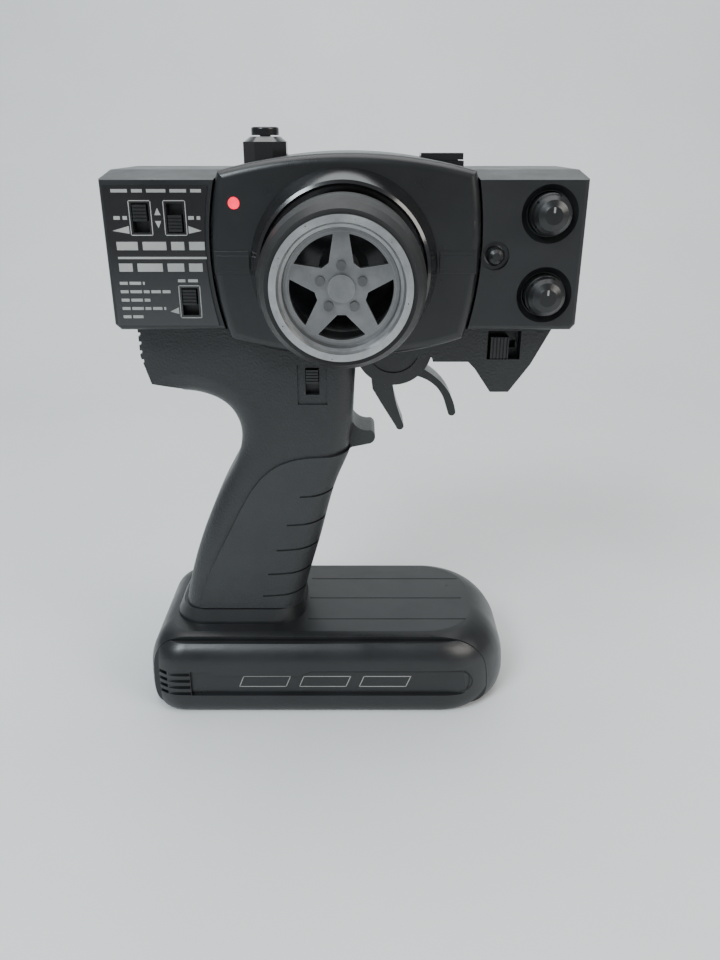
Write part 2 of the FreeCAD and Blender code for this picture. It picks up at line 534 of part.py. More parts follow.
def head(case_screws):
    tools = head_room()
    cowl_plain = slab("cowl_plain", barrel_outline(), ("cowl_face", "head_back + 1"))
    cowl_outer = rounded("cowl_outer", cowl_plain, 3.2,
                         lambda e: at_face("cowl_face")(e) or at_face("head_back + 1")(e))
    crystal_base = box("crystal_base", ("crystal_x - 7.4", "crystal_x + 7.4"), (-4.4, 4.4), (204.5, 207.6))
    crystal_flat = box("crystal_flat", ("crystal_x - 7.6", "crystal_x + 7.6"), (-4.6, 4.6), (207.6, 215))
    cowl_outer = join("cowl_with_base", cowl_outer, crystal_base)
    cowl_room = slab("cowl_room", barrel_outline(-value("head_wall")), ("cowl_face + face_wall", "head_back + 1 - 2.2"))
    shaft_hole = rod_y("cowl_shaft_hole", "wheel_x", "wheel_z", (-40, -20), 5.2)
    lamp_hole = rod_y("lamp_hole", "lamp_x", "lamp_z", (-40, -20), 1.9)
    socket_hole = rod_z("socket_hole", "aerial_x", 0, (195, 215), 5.1)
    crystal_hole = box("crystal_hole", ("crystal_x - 6.2", "crystal_x + 6.2"), (-3.2, 3.2), (195, 215))
    cowl_tools = [*tools, shaft_hole, lamp_hole, socket_hole, crystal_hole, crystal_flat]
    node("cowl_right", head_cover("cowl_right_form", cowl_outer, cowl_room, near, cowl_tools))
    node("cowl_left", head_cover("cowl_left_form", cowl_outer, cowl_room, far, cowl_tools))

    gap = slab("seam_space", barrel_outline(value("seam_gap")), (-60, 60))
    pod_room = slab("pod_room", polygon((-67.6, 157.6), (82.6, 157.6), (82.6, 203), (-67.6, 203)),
                    ("head_face + face_wall", "head_back - 2.2"))
    block = slab("pod_block", polygon((-70, 205.2), (-70, 157), (-68, 155.2), (83.4, 155.2), (85, 157), (85, 205.2)),
                 ("head_face", "head_back"))
    pods = rounded("pods_round", block, 1.6, lambda e: at_face("head_face")(e) or at_face("head_back")(e))
    slope = slab("top_slope", polygon((-90, 210), (100, 210), (100, 205.3), (-90, 205.3)), (-60, 60))
    brow = fixed("brow_cut", Part.Face(Part.makePolygon([V(-90, -40, 200.9), V(-90, -8, 205.9), V(-90, -40, 215),
                                                         V(-90, -40, 200.9)])).extrude(V(190, 0, 0)))
    pods_cut = cut("pods_all", pods, gap, slope, brow)

    def slot(name, x, z):
        return box(name, (f"{x} - slot_width / 2", f"{x} + slot_width / 2"), (-40, -20),
                   (f"{z} - slot_height / 2", f"{z} + slot_height / 2"))

    slots = [slot("steer_slot", "steer_switch_x", "steer_switch_z"), slot("gas_slot", "gas_switch_x", "gas_switch_z"),
             slot("third_slot", "third_switch_x", "third_switch_z")]
    dishes = []
    for name in ("st_trim", "th_trim"):
        dishes.append(cone_y(name + "_dish", name + "_x", name + "_z", ("head_face - 0.01", "head_face + 1.9"),
                             "knob_radius + 0.6", "dish_radius"))
        dishes.append(rod_y(name + "_well", name + "_x", name + "_z", (-40, -20), "knob_radius + 0.4"))
    dishes.append(rod_y("rate_dish", "rate_x", "rate_z", ("head_face - 1", "head_face + 1"), 4.6))
    dishes.append(rod_y("rate_well", "rate_x", "rate_z", (-40, -20), "rate_radius + 0.4"))
    inner = [*tools, *slots, *dishes]
    left_side = (-everywhere, "wheel_x")
    right_side = ("wheel_x", everywhere)

    def pod(label, y_range, x_range):
        cover = head_cover(label + "_form", pods_cut, pod_room, y_range, inner)
        side = box(label + "_limit", x_range, (-everywhere, everywhere), (0, everywhere))
        node(label, overlap(label + "_solid", cover, side))

    pod("switch_pod_right", near, left_side)
    pod("switch_pod_left", far, left_side)
    pod("knob_pod_right", near, right_side)
    pod("knob_pod_left", far, right_side)

    plate_sides = [line((-68.6, 156.9, 0), (-34, 156.9, 0)), line((-34, 156.9, 0), (-34, 201, 0)),
                   line((-34, 201, 0), (-68.6, 201, 0)), line((-68.6, 201, 0), (-68.6, 156.9, 0))]
    plate = slab("label_plate", plate_sides, ("head_face - 0.5", "head_face"))
    wide_gap = slab("label_space", barrel_outline(1.8), (-60, 60))
    node("switch_panel", cut("label_cut", plate, wide_gap, *slots))

    screws = []
    for n, (x, z) in enumerate(HEAD_POSTS):
        head_ = rod_y(f"head_screw_head_{n}", x, z, ("head_back - 1.8", "head_back - 0.3"), 2.7)
        shank = rod_y(f"head_screw_shank_{n}", x, z, (-6, "head_back - 1"), 1.25)
        screws.append(join(f"head_screw_{n}", head_, shank))
    node("case_screws", group("case_screw_set", *case_screws, *screws))

    plate = box("chassis_bar", (-29.5, 45.5), (4.6, 6.2), (161, 195))
    seat = box("pot_seat", ("wheel_x - 12", "wheel_x + 12"), (0.5, 4.8), ("wheel_z - 9.5", "wheel_z + 9.5"))
    clear = [rod_y(f"chassis_hole_{n}", x, z, (0, 12), 3.3) for n, (x, z) in enumerate(HEAD_POSTS)]
    node("chassis_plate", cut("chassis_cut", join("chassis_solid", plate, seat), *clear))


# ---------------------------------------------------------------- steering


def steering():
    x, z = "wheel_x", "wheel_z"
    barrel = turned("rim_barrel", x, z, [
        (20, -72.6), (20, -74), (18, -74), (17.4, -72.4), (16.6, -72.2), (16.2, -70), (15.3, -70), (15.3, -68),
        (16.6, -68), (17.2, -48), (19.4, -48), (18.2, -52), (18.2, -66), (19.2, -70),
    ])
    disc = rod_y("spoke_disc", x, z, (-69.8, -67.4), 15.6)
    windows = []
    cx, cz = value(x), value(z)
    inner_r, outer_r = 7.6, 14.7

    def spot(radius, angle):
        return (cx + radius * math.sin(angle), cz + radius * math.cos(angle), 0)

    for n in range(5):
        middle = math.radians(36 + 72 * n)
        wide, narrow = math.radians(27.5), math.radians(9)
        a, b = spot(outer_r, middle - wide), spot(outer_r, middle + wide)
        c, d = spot(inner_r, middle + narrow), spot(inner_r, middle - narrow)
        windows.append(slab(f"spoke_window_{n}", [arc(a, spot(outer_r, middle), b), line(b, c), line(c, d), line(d, a)],
                            (-75, -60)))
    hub = rod_y("rim_hub", x, z, (-69, -50), 5.4)
    bore = rod_y("rim_bore", x, z, (-67.5, -40), "shaft_radius")
    node("wheel_rim", cut("rim_cut", join("rim_solid", barrel, disc, hub), *windows, bore))

    node("wheel_tyre", turned("tyre_body", x, z, [
        (20.05, -72.6), (21.4, -72.8), (23.2, -69.5), (24.3, -65.5), (24.4, -62), (24.2, -50), (23.2, -47),
        (19.5, -46.6), (19.5, -48.05), (18.25, -52), (18.25, -66), (19.25, -70),
    ]))

    nuts = []
    for n in range(5):
        px, pz, _ = spot(6.2, math.radians(72 * n))
        nuts.append(rod_y(f"lug_{n}", px, pz, (-70.9, -69.8), 1.35))
    node("wheel_lugs", group("lug_set", *nuts))
    node("wheel_cap", rod_y("wheel_cap_disc", x, z, (-71, -69.8), 3.8))

    shaft = rod_y("shaft_rod", x, z, (-67.4, -6), "shaft_radius")
    cam = rod_y("shaft_cam", x, z, (-21.5, -19.5), 9)
    post = rod_y("cam_post", x, "wheel_z + 7.4", (-20, -12.5), 1.2)
    node("wheel_shaft", join("shaft_solid", shaft, cam, post))
    bush = rod_y("bush_outer", x, z, (-33, -25), 5.15)
    flange = rod_y("bush_flange", x, z, (-27.85, -25), 7)
    node("wheel_bush", cut("bush_cut", join("bush_solid", bush, flange),
                           rod_y("bush_bore", x, z, (-40, -20), "shaft_radius + running_gap")))
    bezel = turned("bezel_ring", x, z, [
        (30.2, -30.5), (30.2, -31.6), (27.2, -43), (26.2, -43.6), (25.4, -43), (25.4, -33.4), (8, -33.4), (8, -30.5),
    ])
    node("wheel_bezel", bezel)
    body = rod_y("pot_body", x, z, (-11, -2), 8)
    can = rod_y("pot_can", x, z, (-2.2, 0.5), 6.5)
    node("steering_pot", cut("pot_cut", join("pot_solid", body, can),
                             rod_y("pot_bore", x, z, (-12, -5), "shaft_radius + running_gap")))
    coil = turned("steering_coil", x, z, [(4.6, -18.6), (5.8, -18.6), (5.8, -11), (4.6, -11)])
    node("steering_spring", coil)


# ---------------------------------------------------------------- trigger


def trigger():
    x, z = "pivot_x", "pivot_z"
    drum = rod_y("hub_drum", x, z, ("-hub_half", "hub_half"), "hub_radius")
    well = rod_y("hub_well", x, z, (2, 20), "hub_radius - 2.2")
    blade = slab("blade", [
        line((16.2, 136, 0), (17.2, 128, 0)), line((17.2, 128, 0), (20.2, 122.9, 0)), line((20.2, 122.9, 0), (26.3, 113, 0)),
        arc((26.3, 113, 0), (28, 111.8, 0), (29.2, 113.6, 0)),
        curve((29.2, 113.6, 0), (26.4, 121.6, 0), (25, 128, 0), (24.6, 136, 0)), line((24.6, 136, 0), (16.2, 136, 0)),
    ], ("-blade_half", "blade_half"))
    hook = slab("hook", [
        curve((33, 137.5, 0), (38.5, 134.2, 0), (44.4, 128.9, 0), (48, 122.3, 0), (48.8, 118.8, 0)),
        arc((48.8, 118.8, 0), (47.3, 117.4, 0), (45.9, 118.7, 0)),
        curve((45.9, 118.7, 0), (44.8, 122.4, 0), (41.6, 128.3, 0), (36.5, 132, 0), (29, 133.6, 0)),
        line((29, 133.6, 0), (33, 137.5, 0)),
    ], ("-blade_half", "blade_half"))
    bore = rod_y("hub_bore", x, z, (-30, 20), "pivot_radius")
    dimple = rod_y("hub_dimple", x, z, ("-hub_half - 1", "-hub_half + 0.8"), 9.5)
    solid = join("trigger_solid", cut("hub_cup", drum, well, dimple), blade, hook)
    node("trigger", cut("trigger_cut", solid, bore))
    node("trigger_shaft", rod_y("trigger_rod", x, z, ("-case_half + 1.4", 9.5), "pivot_radius"))
    pot = rod_y("throttle_can", x, z, (8, "hub_half + 0.25"), 8)
    node("throttle_pot", cut("throttle_cut", pot, rod_y("throttle_bore", x, z, (7, 11), "pivot_radius + running_gap")))
    node("trigger_spring", turned("trigger_coil", x, z, [(3.6, 3), (4.8, 3), (4.8, 8), (3.6, 8)]))


# ---------------------------------------------------------------- switches, dials and the lamp


def slide_knob(label, x, z, front, back, ribs=4):
    """A ribbed sliding button with its stem. z is the height of its middle."""
    half_w, half_h = "slide_width / 2", "slide_height / 2"
    block = box(label + "_block", (f"{x} - {half_w}", f"{x} + {half_w}"), (front, back),
                (f"{z} - {half_h}", f"{z} + {half_h}"))
    grooves = [box(f"{label}_groove_{n}", (f"{x} - 4", f"{x} + 4"), (f"{front} - 1", f"{front} + 0.5"),
                   (f"{z} - {half_h} + {0.75 + 1.05 * n}", f"{z} - {half_h} + {1.2 + 1.05 * n}")) for n in range(ribs)]
    node(label, cut(label + "_cut", block, *grooves))


def switches():
    slide_knob("steering_reverse_button", "steer_switch_x", "steer_switch_z + 1.6", "head_face - 1.4", "head_face + 3.4")
    slide_knob("throttle_reverse_button", "gas_switch_x", "gas_switch_z - 1.6", "head_face - 1.4", "head_face + 3.4")
    slide_knob("third_channel_button", "third_switch_x", "third_switch_z + 1.6", "head_face - 1.4", "head_face + 3.4")
    bodies = []
    for name in ("steer_switch", "gas_switch", "third_switch"):
        bodies.append(box(name + "_body", (f"{name}_x - 4", f"{name}_x + 4"), ("head_face + 3.8", "head_face + 8.6"),
                          (f"{name}_z - 6.5", f"{name}_z + 6.5")))
    node("slide_switches", group("switch_body_set", *bodies))
    left_board = box("switch_board", (-66.5, -37), ("head_face + 8.6", "head_face + 10.2"), (166, 196))
    right_board = box("trim_board", (53.5, 82), ("head_face + 9.4", "head_face + 11"), (164.5, 196))
    node("control_boards", group("control_board_set", left_board, right_board))
    slide_knob("power_button", "power_x", "power_z + 2", "-case_half - 0.5", "-case_half + 3.5")
    node("power_switch", box("power_body", ("power_x - 5.5", "power_x + 5.5"), ("-case_half + 4", "-case_half + 10"),
                             ("power_z - 7", "power_z + 7")))
    lever = box("thumb_block", ("thumb_x - 3.2", "thumb_x + 3.2"), ("-case_half - 0.4", "-case_half + 5"),
                ("thumb_z - 4", "thumb_z + 3.6"))
    grooves = [box(f"thumb_groove_{n}", (f"thumb_x - {2.6 - 1.2 * n}", f"thumb_x - {2.1 - 1.2 * n}"),
                   ("-case_half - 1", "-case_half + 0.2"), ("thumb_z - 5", "thumb_z + 5")) for n in range(5)]
    stem = box("thumb_stem", ("thumb_x - 1.5", "thumb_x + 1.5"), ("-case_half + 4.5", "-case_half + 9.5"),
               ("thumb_z - 1", "thumb_z + 1"))
    node("thumb_slider", join("thumb_solid", cut("thumb_ribbed", lever, *grooves), stem))
    node("thumb_pot", box("thumb_pot_body", ("thumb_x - 8", "thumb_x + 7"), ("-case_half + 9.9", "-case_half + 14.4"),
                          ("thumb_z - 2.8", "thumb_z + 3")))


def dial(label, name, radius, front, back):
    """A domed adjusting knob with a flat middle and its spindle."""
    r, y = value(radius), value(front)
    skirt = value(back)
    profile = [(0, y), (r * 0.42, y), (r * 0.5, y + 0.25), (r * 0.72, y + 0.9), (r * 0.9, y + 2.1), (r * 0.97, y + 3.2),
               (r * 0.97, y + 4), (r, y + 4.2), (r, skirt), (0, skirt)]
    cap = turned(label + "_cap", name + "_x", name + "_z", profile)
    spindle = rod_y(label + "_spindle", name + "_x", name + "_z", (f"{back} - 0.5", "head_face + 7"), "dial_shaft")
    return cap, spindle


def dials():
    for label, name in (("steering_trim_knob", "st_trim"), ("throttle_trim_knob", "th_trim")):
        cap, spindle = dial(label, name, "knob_radius", "knob_front", "head_face + 1.6")
        notches = []
        for n in range(5):
            angle = math.radians(72 * n + 20)
            notches.append(rod_y(f"{label}_notch_{n}", f"{name}_x + {6.3 * math.sin(angle)}",
                                 f"{name}_z + {6.3 * math.cos(angle)}", ("knob_front", "knob_front + 4"), 0.45))
        node(label, cut(label + "_notched", join(label + "_solid", cap, spindle), *notches))
    cap = turned("rate_cap", "rate_x", "rate_z", [(0, -31.4), (1.3, -31.4), (2.3, -30.6), (2.9, -29.2), (2.9, -27), (0, -27)])
    spindle = rod_y("rate_spindle", "rate_x", "rate_z", (-27.5, "head_face + 7"), 1.8)
    node("dual_rate_knob", join("rate_solid", cap, spindle))
    pots = []
    for name, bore, radius in (("st_trim", "dial_shaft", 4.9), ("th_trim", "dial_shaft", 4.9), ("rate", 1.8, 3.8)):
        can = rod_y(name + "_can", name + "_x", name + "_z", ("head_face + 3.6", "head_face + 9.4"), radius)
        pots.append(cut(name + "_pot", can, rod_y(name + "_bore", name + "_x", name + "_z",
                                                  ("head_face + 2", "head_face + 8"), f"{bore} + running_gap")))
    node("dial_pots", group("dial_pot_set", *pots))
    lens = rod_y("lamp_lens", "lamp_x", "lamp_z", ("cowl_face - 0.2", "cowl_face + 4"), 1.75)
    foot_ = rod_y("lamp_flange", "lamp_x", "lamp_z", ("cowl_face + 2.8", "cowl_face + 4"), 2.3)
    node("power_lamp", join("lamp_solid", lens, foot_))


# ---------------------------------------------------------------- circuit boards and crystal


def electronics():
    board = box("board_plate", (-29, 45), ("board_front", "board_back"), (165, 198))
    node("main_board", board)
    chips = [(-8, 182, 16, 7), (-24, 172, 8, 8), (18, 185, 14, 7), (20, 170, 9, 9), (5, 168, 6, 6), (36, 168, 5, 5)]
    parts = [box(f"chip_{n}", (x, x + w), ("board_back", "board_back + 3"), (z, z + h))
             for n, (x, z, w, h) in enumerate(chips)]
    for n, (x, z) in enumerate(((-24, 190), (-15, 190), (39, 183), (-10, 172))):
        parts.append(rod_y(f"coil_{n}", x, z, ("board_back", "board_back + 7"), 3))
    tab = box("crystal_tab", ("crystal_x - 7.2", "crystal_x + 7.2"), (-4.2, 4.2), (208, 210.1))
    stem = box("crystal_stem", ("crystal_x - 5.6", "crystal_x + 5.6"), (-2.6, 2.6), (198, 208.1))
    pins = [rod_z(f"crystal_pin_{n}", f"crystal_x + {d}", 0, (193, 198.2), 0.6) for n, d in enumerate((-2.5, 2.5))]
    node("crystal", join("crystal_solid", tab, stem, *pins))
    socket = box("crystal_socket_block", ("crystal_x - 6", "crystal_x + 6"), (-4, 4.5), (189, 197.4))
    holes = [rod_z(f"crystal_socket_hole_{n}", f"crystal_x + {d}", 0, (191, 200), 0.68) for n, d in enumerate((-2.5, 2.5))]
    parts.append(cut("socket_cut", socket, *holes))
    node("board_components", group("component_set", *parts))


# ---------------------------------------------------------------- aerial


def aerial():
    x = "aerial_x"
    cx = value(x)
    ring = [V(cx + 7.9 * math.sin(math.radians(22.5 + 45 * n)), 7.9 * math.cos(math.radians(22.5 + 45 * n)), 200)
            for n in range(9)]
    column = fixed("socket_column", Part.Face(Part.makePolygon(ring)).extrude(V(0, 0, 13.6)))
    shoulder = place(settle(doc.addObject("Part::Cone", "socket_shoulder"), Radius1=7.3, Radius2=5.2, Height=1.6),
                     x, 0, 213.6)
    lower = rod_z("socket_lower", x, 0, (196, 214), 5)
    bore = rod_z("socket_bore", x, 0, (190, 220), 3.75)
    plug = cut("socket_plug", join("socket_outer", column, shoulder), slab("socket_under", barrel_outline(), (-60, 60)))
    node("aerial_socket", cut("socket_cut_all", join("socket_all", plug, lower), bore))
    outer = 3.65
    tubes = []
    for n in range(6):
        radius = f"{outer} - {n} * tube_step"
        low = f"aerial_low + {0.4 * n}"
        tube = rod_z(f"tube_outer_{n}", x, 0, (low, "aerial_high" if n else 212), radius)
        if n < 5:
            hole = rod_z(f"tube_hole_{n}", x, 0, ("aerial_low - 5", 230), f"{radius} - tube_wall")
            tube = cut(f"tube_{n}", tube, hole)
        tubes.append(tube)
    plug_end = rod_z("tube_plug", x, 0, ("aerial_low - 2", "aerial_low + 0.05"), outer)
    node("aerial_sleeve", join("sleeve_solid", tubes[0], plug_end))
    for n in range(1, 5):
        node(f"aerial_section_{n}", tubes[n])
    cap = rod_z("tip_cap", x, 0, (215.6, 218.2), 4.7)
    neck = rod_z("tip_neck", x, 0, (214, 216), f"{outer} - 5 * tube_step")
    cap_round = rounded("tip_cap_round", cap, 0.7, lambda e: e.BoundBox.ZMin > 218)
    node("aerial_tip", join("tip_solid", tubes[5], neck, cap_round))


foot()
battery_drawer()
head(case())
steering()
trigger()
switches()
dials()
electronics()
aerial()
doc.recompute()

# ---------------------------------------------------------------- checks and export

failed = [thing.Label for thing in doc.Objects if "Invalid" in thing.State or "Error" in thing.State]
if failed:
    raise SystemExit(f"these objects failed: {failed}")
for label, thing in nodes.items():
    shape = thing.Shape
    if shape.isNull() or not shape.isValid() or not shape.Solids:
        raise SystemExit(f"{label} has no valid solid")

os.makedirs("parts", exist_ok=True)
for label, thing in nodes.items():
    thing.Shape.exportStep(os.path.join("parts", label + ".step"))
print(len(nodes), "nodes")
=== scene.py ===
"""The pistol-grip transmitter: its finishes, its printed marks and small moulded detail, and the studio."""

import bpy
import itertools
import json
import math

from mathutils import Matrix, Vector


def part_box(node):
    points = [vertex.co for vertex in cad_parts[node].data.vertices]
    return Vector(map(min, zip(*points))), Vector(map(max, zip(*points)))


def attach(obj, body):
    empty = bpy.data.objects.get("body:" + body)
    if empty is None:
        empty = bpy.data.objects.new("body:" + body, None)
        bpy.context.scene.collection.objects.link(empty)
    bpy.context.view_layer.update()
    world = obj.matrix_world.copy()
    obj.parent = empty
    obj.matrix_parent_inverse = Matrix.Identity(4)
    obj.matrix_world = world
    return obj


bpy.ops.wm.read_factory_settings(use_empty=True)
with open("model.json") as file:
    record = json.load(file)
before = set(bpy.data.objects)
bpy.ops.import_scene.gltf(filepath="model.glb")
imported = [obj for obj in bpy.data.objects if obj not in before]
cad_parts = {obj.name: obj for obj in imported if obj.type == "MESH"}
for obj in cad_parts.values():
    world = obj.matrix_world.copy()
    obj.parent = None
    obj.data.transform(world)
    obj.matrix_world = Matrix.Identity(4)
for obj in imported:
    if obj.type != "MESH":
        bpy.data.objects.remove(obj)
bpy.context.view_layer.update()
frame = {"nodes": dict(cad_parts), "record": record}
NODES = frame["nodes"]
MM = 0.001

# ---------------------------------------------------------------- camera

camera_data = bpy.data.cameras.new("camera")
camera_data.lens = 30
camera_data.sensor_width = 36
camera = bpy.data.objects.new("camera", camera_data)
camera.location = (0.0125, -0.296, 0.215)
camera.rotation_euler = (math.radians(66.8), 0, 0)
bpy.context.collection.objects.link(camera)
bpy.context.scene.camera = camera

# ---------------------------------------------------------------- materials


class Surface:
    """A procedural material built in object coordinates, with a few short helpers."""

    def __init__(self, name):
        self.material = bpy.data.materials.new(name)
        self.material.use_nodes = True
        self.nodes = self.material.node_tree.nodes
        self.links = self.material.node_tree.links
        self.shader = self.nodes["Principled BSDF"]
        self.place = self.nodes.new("ShaderNodeTexCoord").outputs["Object"]

    def noise(self, scale, detail=4, rough=0.6, stretch=None):
        texture = self.nodes.new("ShaderNodeTexNoise")
        texture.inputs["Scale"].default_value = scale
        texture.inputs["Detail"].default_value = detail
        texture.inputs["Roughness"].default_value = rough
        source = self.place
        if stretch:
            mapping = self.nodes.new("ShaderNodeMapping")
            mapping.inputs["Scale"].default_value = stretch
            self.links.new(self.place, mapping.inputs["Vector"])
            source = mapping.outputs["Vector"]
        self.links.new(source, texture.inputs["Vector"])
        return texture.outputs["Fac"]

    def spread(self, value, low, high, start=0.3, end=0.7):
        """Maps a value between start and end to the range low to high."""
        remap = self.nodes.new("ShaderNodeMapRange")
        remap.inputs["From Min"].default_value = start
        remap.inputs["From Max"].default_value = end
        remap.inputs["To Min"].default_value = low
        remap.inputs["To Max"].default_value = high
        self.links.new(value, remap.inputs["Value"])
        return remap.outputs["Result"]

    def blend(self, value, dark, light, start=0.35, end=0.65):
        ramp = self.nodes.new("ShaderNodeValToRGB")
        ramp.color_ramp.elements[0].position = start
        ramp.color_ramp.elements[0].color = (*dark, 1)
        ramp.color_ramp.elements[1].position = end
        ramp.color_ramp.elements[1].color = (*light, 1)
        self.links.new(value, ramp.inputs["Fac"])
        return ramp.outputs["Color"]

    def bump(self, *layers):
        """Stacks (value, strength, distance in millimetres) bumps."""
        normal = None
        for value, strength, distance in layers:
            step = self.nodes.new("ShaderNodeBump")
            step.inputs["Strength"].default_value = strength
            step.inputs["Distance"].default_value = distance * MM
            self.links.new(value, step.inputs["Height"])
            if normal:
                self.links.new(normal, step.inputs["Normal"])
            normal = step.outputs["Normal"]
        self.links.new(normal, self.shader.inputs["Normal"])

    def edge_wear(self, color, worn, radius, amount):
        """Lightens sharp edges a little, where hands rub them."""
        bevel = self.nodes.new("ShaderNodeBevel")
        bevel.samples = 4
        bevel.inputs["Radius"].default_value = radius * MM
        geometry = self.nodes.new("ShaderNodeNewGeometry")
        dot = self.nodes.new("ShaderNodeVectorMath")
        dot.operation = "DOT_PRODUCT"
        self.links.new(bevel.outputs["Normal"], dot.inputs[0])
        self.links.new(geometry.outputs["Normal"], dot.inputs[1])
        mask = self.spread(dot.outputs["Value"], amount, 0, 0.7, 0.98)
        mix = self.nodes.new("ShaderNodeMix")
        mix.data_type = "RGBA"
        self.links.new(mask, mix.inputs["Factor"])
        self.links.new(color, mix.inputs["A"])
        mix.inputs["B"].default_value = (*worn, 1)
        return mix.outputs["Result"]

    def along(self, axis):
        """The place along X, Y or Z, in metres."""
        axes = self.nodes.new("ShaderNodeSeparateXYZ")
        self.links.new(self.place, axes.inputs["Vector"])
        return axes.outputs[axis]

    def mix(self, mask, first, second):
        """Goes from the first colour to the second as the mask goes from 0 to 1."""
        mixer = self.nodes.new("ShaderNodeMix")
        mixer.data_type = "RGBA"
        self.links.new(mask, mixer.inputs["Factor"])
        self.links.new(first, mixer.inputs["A"])
        self.links.new(second, mixer.inputs["B"])
        return mixer.outputs["Result"]

    def color(self, socket):
        self.links.new(socket, self.shader.inputs["Base Color"])

    def rough(self, socket):
        self.links.new(socket, self.shader.inputs["Roughness"])


def plastic(name, dark, light, rough, grain=0.0, grain_size=1900, coat=0.0, wear=0.25):
    """Moulded plastic: faint colour drift, smudges in the gloss, and a spark-eroded grain."""
    surface = Surface(name)
    color = surface.blend(surface.noise(22, 5), dark, light)
    worn = tuple(min(1, channel * 2.2 + 0.012) for channel in light)
    surface.color(surface.edge_wear(color, worn, 0.35, wear))
    surface.rough(surface.spread(surface.noise(55, 6, 0.7), *rough))
    surface.shader.inputs["Coat Weight"].default_value = coat
    surface.shader.inputs["Coat Roughness"].default_value = 0.12
    layers = [(surface.noise(90, 3), 0.12, 0.05)]
    if grain:
        grain_depth = 0.12 if grain < 0.5 else 0.35
        layers.append((surface.noise(grain_size, 2, 0.5), grain, grain_depth))
    surface.bump(*layers)
    return surface.material


def metal(name, dark, light, rough, metallic=1.0, stretch=None):
    """Metal or metal paint: fine brushing and a cloudy gloss."""
    surface = Surface(name)
    surface.color(surface.blend(surface.noise(60, 6, 0.7), dark, light, 0.3, 0.7))
    surface.rough(surface.spread(surface.noise(140, 6, 0.75, stretch), *rough))
    surface.shader.inputs["Metallic"].default_value = metallic
    surface.bump((surface.noise(1400, 3, 0.6, stretch), 0.06, 0.08))
    return surface.material


def rim_silver():
    """The wheel's satin silver: a bright lip in front with lightly worn edges, and painted shade that darkens
    the spokes set back behind it.
    """
    surface = Surface("wheel_silver")
    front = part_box("wheel_rim")[0].y
    # Painted shade: past the lip, deeper into the cup, the spokes take a darker colour.
    spoke_shade_mask = surface.spread(surface.along("Y"), 0, 1, front + 0.8 * MM, front + 2.2 * MM)
    lip = surface.blend(surface.noise(80, 6, 0.7), (0.3, 0.305, 0.31), (0.44, 0.445, 0.45))
    shaded_spokes = surface.blend(surface.noise(60, 6, 0.7), (0.16, 0.162, 0.165), (0.25, 0.253, 0.257))
    surface.color(surface.edge_wear(surface.mix(spoke_shade_mask, lip, shaded_spokes), (0.45, 0.45, 0.45), 0.3, 0.6))
    surface.rough(surface.spread(surface.noise(180, 6, 0.75), 0.26, 0.48))
    surface.shader.inputs["Metallic"].default_value = 0.85
    surface.bump((surface.noise(1400, 3, 0.6), 0.06, 0.08))
    return surface.material


def capped_rod():
    """The aerial's last rod: bright metal below, with a black moulded cap on its top."""
    surface = Surface("capped_rod")
    height = surface.along("Z")
    rod_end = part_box("aerial_section_1")[1].z
    change = (rod_end, rod_end + 0.2 * MM)
    rod = surface.blend(surface.noise(60), (0.62, 0.62, 0.64), (0.74, 0.74, 0.76))
    cap = surface.blend(surface.noise(60), (0.005, 0.005, 0.0055), (0.01, 0.01, 0.0105))
    surface.color(surface.mix(surface.spread(height, 0, 1, *change), rod, cap))
    surface.links.new(surface.spread(height, 1, 0, *change), surface.shader.inputs["Metallic"])
    surface.rough(surface.spread(surface.noise(140, 6, 0.75), 0.14, 0.3))
    surface.bump((surface.noise(900, 3), 0.05, 0.05))
    return surface.material


def glowing(name):
    """A lit lamp's lens, which gives off its own colour."""
    surface = Surface(name)
    surface.color(surface.blend(surface.noise(300), (0.6, 0.004, 0.03), (1.0, 0.02, 0.08)))
    surface.shader.inputs["Roughness"].default_value = 0.15
    surface.shader.inputs["Emission Color"].default_value = (1.0, 0.0, 0.045, 1)
    surface.shader.inputs["Emission Strength"].default_value = 1.6
    return surface.material


